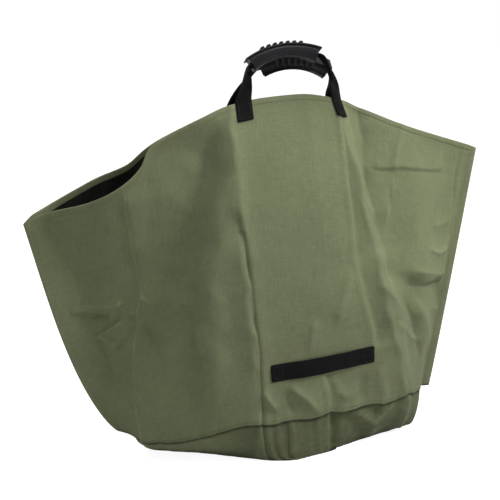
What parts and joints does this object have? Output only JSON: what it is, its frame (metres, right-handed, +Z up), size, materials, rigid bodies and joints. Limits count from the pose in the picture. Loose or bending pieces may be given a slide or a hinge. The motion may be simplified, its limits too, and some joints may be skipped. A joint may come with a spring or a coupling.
{
  "type": "leaf bag",
  "caption": "Wide-mouthed canvas bag for garden leaves that stands on a sewn-in base, with two webbing handles, moulded grips and a low pull strap.",
  "frame": {"origin": "centre of the bag's box, at ground level under the base panel", "axes": "+X along the mouth from the low open end to the high end, +Y from the front wall (pull strap) to the back wall, +Z up"},
  "size_m": [0.795, 0.2492, 0.698],
  "materials": {
    "canvas": "coated olive green canvas, matte",
    "webbing": "black woven webbing",
    "grip": "dark grey moulded, satin",
    "olive_thread": "sewing thread",
    "black_thread": "sewing thread"
  },
  "bodies": {
    "bag": {"front_wall": "canvas", "back_wall": "canvas", "base_panel": "canvas", "front_hem_stitching": "olive_thread", "back_hem_stitching": "olive_thread", "front_base_stitching": "olive_thread", "back_base_stitching": "olive_thread", "left_side_stitching": "olive_thread", "right_side_stitching": "olive_thread", "front_left_tab": "webbing", "front_right_tab": "webbing", "back_left_tab": "webbing", "back_right_tab": "webbing", "front_left_tab_stitching": "black_thread", "front_right_tab_stitching": "black_thread", "back_left_tab_stitching": "black_thread", "back_right_tab_stitching": "black_thread", "pull_strap_left_end": "webbing", "pull_strap_right_end": "webbing", "pull_strap_left_stitching": "black_thread", "pull_strap_right_stitching": "black_thread"},
    "front_handle": {"front_handle_webbing": "webbing", "front_grip": "grip"},
    "back_handle": {"back_handle_webbing": "webbing", "back_grip": "grip"},
    "pull_strap": {"pull_strap_middle": "webbing"}
  },
  "joints": [
    {"name": "front_handle_fold", "type": "hinge", "parent": "bag", "child": "front_handle", "pos_m": [0.03374, -0.044, 0.60062], "axis": [0.9983, 0.0542, 0.0194], "range_deg": [0, 135]},
    {"name": "back_handle_fold", "type": "hinge", "parent": "bag", "child": "back_handle", "pos_m": [0.04457, 0.04319, 0.57556], "axis": [-0.9987, 0.0463, -0.0189], "range_deg": [0, 165]},
    {"name": "pull_strap_lift", "type": "slide", "parent": "bag", "child": "pull_strap", "axis": [0.118, -0.9925, -0.0329], "range_m": [0, 0.018]}
  ]
}
